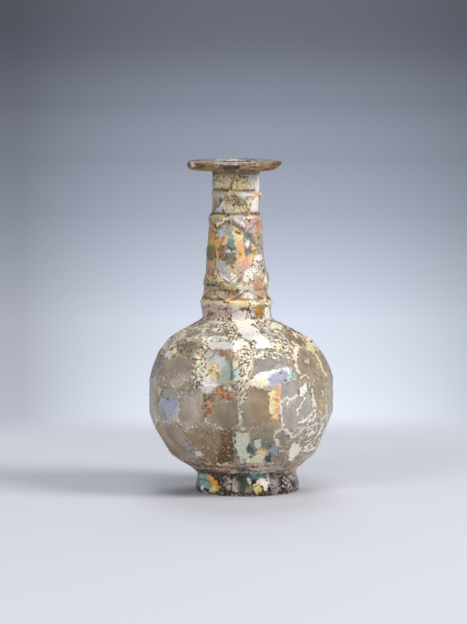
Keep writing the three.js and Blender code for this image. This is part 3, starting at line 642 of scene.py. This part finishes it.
def join(outer_count, inner_count):
    """Faces between the rings of points, and each one's material: 0 outside, 1 inside."""
    first_inner = outer_count * COLUMNS
    under_pole = first_inner + inner_count * INNER_COLUMNS
    inner_pole = under_pole + 1
    at = lambda i, j: i * COLUMNS + j % COLUMNS
    inn = lambda i, j: first_inner + i * INNER_COLUMNS + j % INNER_COLUMNS
    faces = [(under_pole, at(0, j + 1), at(0, j)) for j in range(COLUMNS)]
    for i in range(outer_count - 1):
        faces += [(at(i, j), at(i, j + 1), at(i + 1, j + 1), at(i + 1, j)) for j in range(COLUMNS)]
    slots = [0] * len(faces)
    per = COLUMNS // INNER_COLUMNS
    for k in range(INNER_COLUMNS):
        faces.append([at(outer_count - 1, k * per + m) for m in range(per + 1)] + [inn(0, k + 1), inn(0, k)])
    for i in range(inner_count - 1):
        faces += [(inn(i, j), inn(i, j + 1), inn(i + 1, j + 1), inn(i + 1, j)) for j in range(INNER_COLUMNS)]
    faces += [(inner_pole, inn(inner_count - 1, j), inn(inner_count - 1, j + 1)) for j in range(INNER_COLUMNS)]
    return faces, slots + [1] * (len(faces) - len(slots))


def build_bottle():
    """One closed mesh, with the state of its surface kept at each point."""
    outer, facing = outer_rows()
    flat_rows = len(UNDER_RADII)
    outer = np.concatenate([outer[:flat_rows], relax(outer, 2, 0.4)[flat_rows:]])
    inner = inner_rows()[0]
    normals = grid_normals(outer)
    hollow = np.sum((relax(outer, 3, 0.6) - outer) * normals, axis=2)
    z = outer[:, :, 2]
    arris = smooth(5, 14, angles_between(facing)) * smooth(14.5, 16.5, z) * smooth(82, 79, z)
    on_neck = smooth(88, 92, z) * smooth(164, 160, z)
    # Painted highlight on the neck's crests, painted shade in its creases
    crease_shade, crest_highlight = smooth(0.03, 0.12, hollow) * on_neck, smooth(0.04, 0.14, -hollow) * on_neck

    flat = outer.reshape(-1, 3)
    film, haze_and_facet_shade, cover, pits, gleam, flake = weather(flat, arris.ravel(), crease_shade.ravel(), crest_highlight.ravel())
    rough = smooth(0.05, 0.25, pits)
    lumps = SWELL * (cloudy(flat, 7.0, 31) - 0.5) + rough * CRUST_ROUGH * (cloudy(flat, 1.6, 41) - 0.4)
    lumps += FILM_THICK * smooth(0.35, 0.65, cover)
    for middle, radius, height in SCABS:
        lumps += height * smooth(radius, 0, np.linalg.norm(flat - middle, axis=1))
    # The foot's ring and the rim's top stay flat
    free = smooth(0.6, 2.0, flat[:, 2]) * smooth(HEIGHT + 0.1, HEIGHT - 0.5, flat[:, 2])
    flat = flat + normals.reshape(-1, 3) * (lumps * free)[:, None]

    under_pole = np.array([sideways(0), 0, outer[0, :, 2].max() + 0.05])
    inner_pole = np.array([sideways(HOLLOW_FLOOR), 0, inner[-1, :, 2].min() - 0.02])
    points = [*flat, *inner.reshape(-1, 3), under_pole, inner_pole]
    faces, slots = join(len(outer), len(inner))
    mesh = bpy.data.meshes.new("weathered_bottle")
    mesh.from_pydata((np.array(points) / 1000).tolist(), [], faces)
    mesh.polygons.foreach_set("material_index", slots)
    mesh.polygons.foreach_set("use_smooth", [True] * len(faces))
    unwrap(mesh, outer, inner)
    unpainted = len(points) - len(flat)
    for name, values in (("film", film), ("haze_and_facet_shade", haze_and_facet_shade)):
        rgb = np.concatenate([values, np.zeros((unpainted, 3))])
        colours = np.concatenate([rgb, np.ones((len(points), 1))], axis=1).astype(np.float32)
        mesh.attributes.new(name, "FLOAT_COLOR", "POINT").data.foreach_set("color", colours.ravel())
    for name, values in (("cover", cover), ("pits", pits), ("gleam", gleam), ("flake", flake)):
        padded = np.concatenate([values, np.zeros(unpainted)]).astype(np.float32)
        mesh.attributes.new(name, "FLOAT", "POINT").data.foreach_set("value", padded)
    bottle = bpy.data.objects.new("weathered_bottle", mesh)
    bpy.context.collection.objects.link(bottle)
    return bottle


def rgba(rgb):
    return (*linear(rgb), 1)


class Nodes:
    """Short names for building a shader's node tree. Inputs are named, or numbered as i0, i1."""

    def __init__(self, name):
        self.material = bpy.data.materials.new(name)
        self.material.use_nodes = True
        self.tree = self.material.node_tree
        self.shader = self.tree.nodes["Principled BSDF"]

    def add(self, kind, settings=None, **inputs):
        node = self.tree.nodes.new(kind)
        for key, value in (settings or {}).items():
            setattr(node, key, value)
        for key, value in inputs.items():
            self.feed(node.inputs[int(key[1:]) if key[1:].isdigit() else key], value)
        return node

    def feed(self, socket, value):
        if isinstance(value, bpy.types.NodeSocket):
            self.tree.links.new(value, socket)
        else:
            socket.default_value = value

    def attribute(self, name, output="Fac"):
        return self.add("ShaderNodeAttribute", {"attribute_name": name}).outputs[output]

    def math(self, operation, a, b=0.0):
        return self.add("ShaderNodeMath", {"operation": operation}, i0=a, i1=b).outputs[0]

    def times(self, a, b):
        return self.math("MULTIPLY", a, b)

    def minus(self, a, b):
        return self.math("SUBTRACT", a, b)

    def ramp(self, value, low, high, to_low=0.0, to_high=1.0):
        settings = {"interpolation_type": "SMOOTHSTEP"}
        return self.add("ShaderNodeMapRange", settings, i0=value, i1=low, i2=high, i3=to_low, i4=to_high).outputs[0]

    def mix(self, factor, a, b, blend="MIX"):
        settings = {"data_type": "RGBA", "blend_type": blend}
        return self.add("ShaderNodeMix", settings, i0=factor, i6=a, i7=b).outputs[2]

    def noise(self, coords, scale, detail=3.0, roughness=0.6, distortion=0.0):
        inputs = {"Vector": coords, "Scale": scale, "Detail": detail, "Roughness": roughness}
        return self.add("ShaderNodeTexNoise", **inputs, Distortion=distortion).outputs[0]

    def stops(self, value, *stops):
        node = self.add("ShaderNodeValToRGB", i0=value)
        while len(node.color_ramp.elements) < len(stops):
            node.color_ramp.elements.new(0.5)
        for element, (at, rgb) in zip(node.color_ramp.elements, stops):
            element.position, element.color = at, rgba(rgb)
        return node.outputs[0]


GLASS_IOR = 1.5
# The shader's noises, in lumps to a metre
GRAINS, HOLES, SOFT, HUES, STRENGTHS, SHADES, SPECKS, BUMPS = 700.0, 740.0, 140.0, 380.0, 620.0, 900.0, 1100.0, 420.0
CRACK_CELLS, CRACK_BENDS, CRACK_GAPS, RAINBOW = 95.0, 170.0, 75.0, 150.0
STREAK_SLANT, STREAK_SCALE = -32, (760.0, 760.0, 330.0)
EVENED = (0.28, 0.72)  # the part of a noise that is spread from 0 to 1
DIRT, FILM_EDGE_SHADE, CHALK, CLEAR = (58, 41, 23), (96, 68, 40), (236, 228, 212), (232, 225, 212)
RAINBOW_STOPS = (
    (0.25, (230, 214, 170)), (0.4, (236, 190, 186)), (0.5, (186, 176, 222)), (0.6, (160, 210, 214)),
    (0.75, (220, 226, 176)),
)


def weathered_glass():
    n = Nodes("weathered_glass")
    place = n.add("ShaderNodeTexCoord").outputs["Object"]
    film_colour, haze_and_facet_shade = n.attribute("film", "Color"), n.attribute("haze_and_facet_shade", "Color")
    cover, pits, gleam, flake = [n.attribute(name) for name in ("cover", "pits", "gleam", "flake")]
    grains = n.ramp(n.noise(place, GRAINS, 4.0, 0.72), *EVENED)
    moved = n.add("ShaderNodeVectorMath", i0=place, i1=(3.1, 1.7, 4.3)).outputs[0]
    holes = n.ramp(n.noise(moved, HOLES, 4.0, 0.7), *EVENED)
    soft = n.noise(place, SOFT, 5.0, 0.62)

    # Film lies where the grains are fewer than the cover, and dirt where the holes are fewer than the pits
    film = n.ramp(n.minus(cover, grains), -0.05, 0.06)
    slant = (0, math.radians(STREAK_SLANT), 0)
    slanted = n.add("ShaderNodeMapping", i0=place, i2=slant, i3=STREAK_SCALE).outputs[0]
    streaks = n.ramp(n.noise(slanted, 1.0, 3.0, 0.6, 0.9), *EVENED)
    flaking = n.times(n.ramp(n.minus(flake, streaks), -0.04, 0.05), n.ramp(flake, 0.02, 0.1))
    film = n.math("MAXIMUM", film, flaking)
    dirt = n.times(n.ramp(n.minus(pits, holes), -0.04, 0.04), n.ramp(pits, 0.0, 0.03))

    # Thin broken cracks run through the crust
    bends = n.add("ShaderNodeTexNoise", Vector=place, Scale=CRACK_BENDS, Detail=3.0).outputs["Color"]
    settings = {"operation": "MULTIPLY_ADD"}
    bent = n.add("ShaderNodeVectorMath", settings, i0=bends, i1=(0.012, 0.012, 0.012), i2=place).outputs[0]
    cells = n.add("ShaderNodeTexVoronoi", {"feature": "DISTANCE_TO_EDGE"}, Vector=bent, Scale=CRACK_CELLS)
    cracks = n.times(n.ramp(cells.outputs["Distance"], 0.008, 0.03, 1.0, 0.0), n.ramp(pits, 0.1, 0.2))
    cracks = n.times(cracks, n.ramp(n.noise(place, CRACK_GAPS), 0.46, 0.56))
    dirt = n.math("MAXIMUM", dirt, cracks)

    # Colour: cloudy glass, then film in shifting hues, then a painted brown shadow line round the film's edge, then
    # dirt
    glass = n.mix(n.ramp(soft, 0.3, 0.7), haze_and_facet_shade, n.mix(1.0, haze_and_facet_shade, (0.68, 0.67, 0.66, 1), "MULTIPLY"))
    rainbow = n.stops(n.noise(place, RAINBOW, 3.0, 0.55, 1.0), *RAINBOW_STOPS)
    shifted = n.add("ShaderNodeHueSaturation", Hue=n.ramp(n.noise(place, HUES), 0.3, 0.7, 0.475, 0.525),
                    Saturation=n.ramp(n.noise(place, STRENGTHS, 3.0, 0.65), 0.3, 0.7, 0.72, 1.18),
                    Value=n.ramp(n.noise(place, SHADES, 3.0, 0.7), 0.3, 0.7, 0.84, 1.12), Color=film_colour).outputs[0]
    tinted = n.mix(n.times(gleam, 0.45), shifted, rainbow, "SOFT_LIGHT")
    tinted = n.mix(n.ramp(soft, 0.35, 0.7, 0.0, 0.10), tinted, rgba(CHALK))
    specks = n.stops(n.noise(place, SPECKS, 3.0, 0.7), (0.3, (222, 216, 208)), (0.6, (255, 255, 255)))
    tinted = n.mix(1.0, tinted, specks, "MULTIPLY")
    # Painted shadow: a brown line round the film's edge
    film_edge_shade = n.times(n.times(film, n.minus(1.0, film)), 2.4)
    colour = n.mix(n.math("MINIMUM", film_edge_shade, 0.8), n.mix(film, glass, tinted), rgba(FILM_EDGE_SHADE))
    colour = n.mix(n.times(dirt, 0.9), colour, rgba(DIRT))

    inputs = n.shader.inputs
    n.feed(inputs["Base Color"], colour)
    n.feed(inputs["Transmission Weight"], n.ramp(n.math("MAXIMUM", film, dirt), 0.0, 1.0, 0.7, 0.06))
    dull = n.minus(n.times(pits, 0.7), n.times(gleam, 0.16))
    n.feed(inputs["Roughness"], n.math("ADD", n.ramp(film, 0.0, 1.0, 0.10, 0.26), dull))
    height = n.minus(film, n.times(dirt, 1.2))
    height = n.math("ADD", height, n.times(n.noise(place, BUMPS, 2.0, 0.5), 0.5))
    bump = n.add("ShaderNodeBump", Strength=0.7, Distance=0.0002, Height=height)
    n.feed(inputs["Normal"], bump.outputs[0])
    inputs["IOR"].default_value = GLASS_IOR
    return n.material


def bare_glass():
    n = Nodes("bare_glass")
    inputs = n.shader.inputs
    inputs["Base Color"].default_value = rgba(CLEAR)
    inputs["Transmission Weight"].default_value = 0.9
    inputs["Roughness"].default_value = 0.2
    inputs["IOR"].default_value = GLASS_IOR
    return n.material


# The floor, in metres: half its width, the camera's distance, and the far colours' distance from the camera
FLOOR_HALF, EYE_BACK, FAR_FROM = 16.0, 2.19, 2.443
FAR_MIDDLE, FAR_DIMS, FAR_DIMMEST = 0.0046, 138.5, 0.58  # painted shade: how the far colours dim to the sides
FAR_SPAN, FAR_BLEND, FAR_SIDES = 0.8, (-0.02, 0.03), (0.8, 1.6)
# Colours of the floor near the bottle, and from just behind it to far off, where they hold painted shade and light
NEAR = (186, 188, 197)
DISTANT_SHADED = (
    (0.0, (218, 224, 236)), (0.25, (219, 224, 237)), (0.375, (200, 204, 218)), (0.5, (174, 179, 193)),
    (0.625, (161, 165, 179)), (0.75, (170, 174, 189)), (0.875, (205, 208, 226)), (0.975, (238, 239, 250)),
)


def pale_floor():
    """A wide flat floor, with painted shade and light, coloured by how far it lies behind the bottle and how far to
    the side.
    """
    mesh = bpy.data.meshes.new("floor")
    corners = [(FLOOR_HALF * x, FLOOR_HALF * y, 0) for x, y in ((-1, -1), (1, -1), (1, 1), (-1, 1))]
    mesh.from_pydata(corners, [], [(0, 1, 2, 3)])
    floor = bpy.data.objects.new("floor", mesh)
    bpy.context.collection.objects.link(floor)
    n = Nodes("floor_paper")
    place = n.add("ShaderNodeSeparateXYZ", i0=n.add("ShaderNodeTexCoord").outputs["Object"]).outputs
    reach = n.math("ADD", n.math("MAXIMUM", place[1], 0.0), EYE_BACK)
    behind = n.minus(1.0, n.math("DIVIDE", FAR_FROM, reach))
    aside = n.math("ABSOLUTE", n.minus(n.math("DIVIDE", place[0], reach), FAR_MIDDLE))
    # Painted shade: darker far off to the sides
    side_shade = n.times(n.math("POWER", aside, 2.0), FAR_DIMS)
    dimmed = n.math("MAXIMUM", n.minus(1.0, side_shade), FAR_DIMMEST)
    distant_shaded = n.stops(n.math("DIVIDE", behind, FAR_SPAN), *DISTANT_SHADED)
    distant_shaded = n.add("ShaderNodeVectorMath", {"operation": "SCALE"}, i0=distant_shaded, Scale=dimmed).outputs[0]
    beside = n.ramp(n.math("ABSOLUTE", place[0]), *FAR_SIDES, 1.0, 0.0)
    part = n.times(n.ramp(behind, *FAR_BLEND), beside)
    n.feed(n.shader.inputs["Base Color"], n.mix(part, rgba(NEAR), distant_shaded))
    n.shader.inputs["Roughness"].default_value = 0.9
    n.shader.inputs["Specular IOR Level"].default_value = 0.1
    floor.data.materials.append(n.material)
    return floor


# The lights: name, place and aim in metres, size, power, colour
LIGHTS = (
    ("key", (1.23, -0.55, 0.95), (0, 0, 0.09), 0.75, 26, (1.0, 0.97, 0.93)),
    ("top", (0.05, -0.5, 1.5), (0, 0, 0.05), 0.7, 7, (1.0, 0.97, 0.94)),
    ("fill", (-0.9, -1.1, 0.6), (0, 0, 0.09), 0.6, 9.5, (1.0, 0.99, 0.98)),
    ("rear", (0, 2.3, 2.8), (0, 2.3, 0), 2.0, 64, (0.94, 0.97, 1.0)),
)
SKY, SKY_POWER = (0.80, 0.86, 0.97, 1), 0.18


def facing_turn(place, aim):
    """The turn that points a lamp or camera at its aim."""
    return (Vector(aim) - Vector(place)).to_track_quat("-Z", "Y").to_euler()


def studio():
    scene = bpy.context.scene
    for name, place, aim, size, power, colour in LIGHTS:
        light = bpy.data.lights.new(name, "AREA")
        light.shape, light.size, light.energy, light.color = "DISK", size, power, colour
        lamp = bpy.data.objects.new(name, light)
        lamp.location, lamp.rotation_euler = place, facing_turn(place, aim)
        bpy.context.collection.objects.link(lamp)
    world = bpy.data.worlds.new("studio")
    world.use_nodes = True
    sky = world.node_tree.nodes["Background"].inputs
    sky[0].default_value, sky[1].default_value = SKY, SKY_POWER
    scene.world = world
    scene.view_settings.view_transform = "Standard"

    lens = bpy.data.cameras.new("camera")
    lens.lens, lens.sensor_width = LENS, SENSOR
    lens.shift_x = (PICTURE_W / 2 - AIM_X_PX) / PICTURE_H
    lens.shift_y = (AIM_Y_PX - PICTURE_H / 2) / PICTURE_H
    camera = bpy.data.objects.new("camera", lens)
    tilt = math.radians(CAMERA_TILT)
    aim = Vector((0, 0, AIM_Z / 1000))
    camera.location = aim + Vector((0, -math.cos(tilt), math.sin(tilt))) * CAMERA_BACK / 1000
    camera.rotation_euler = facing_turn(camera.location, aim)
    bpy.context.collection.objects.link(camera)
    scene.camera = camera


bottle = build_bottle()
bottle.data.materials.append(weathered_glass())
bottle.data.materials.append(bare_glass())
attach(bottle, "root")
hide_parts("glass_bottle")
pale_floor()
studio()
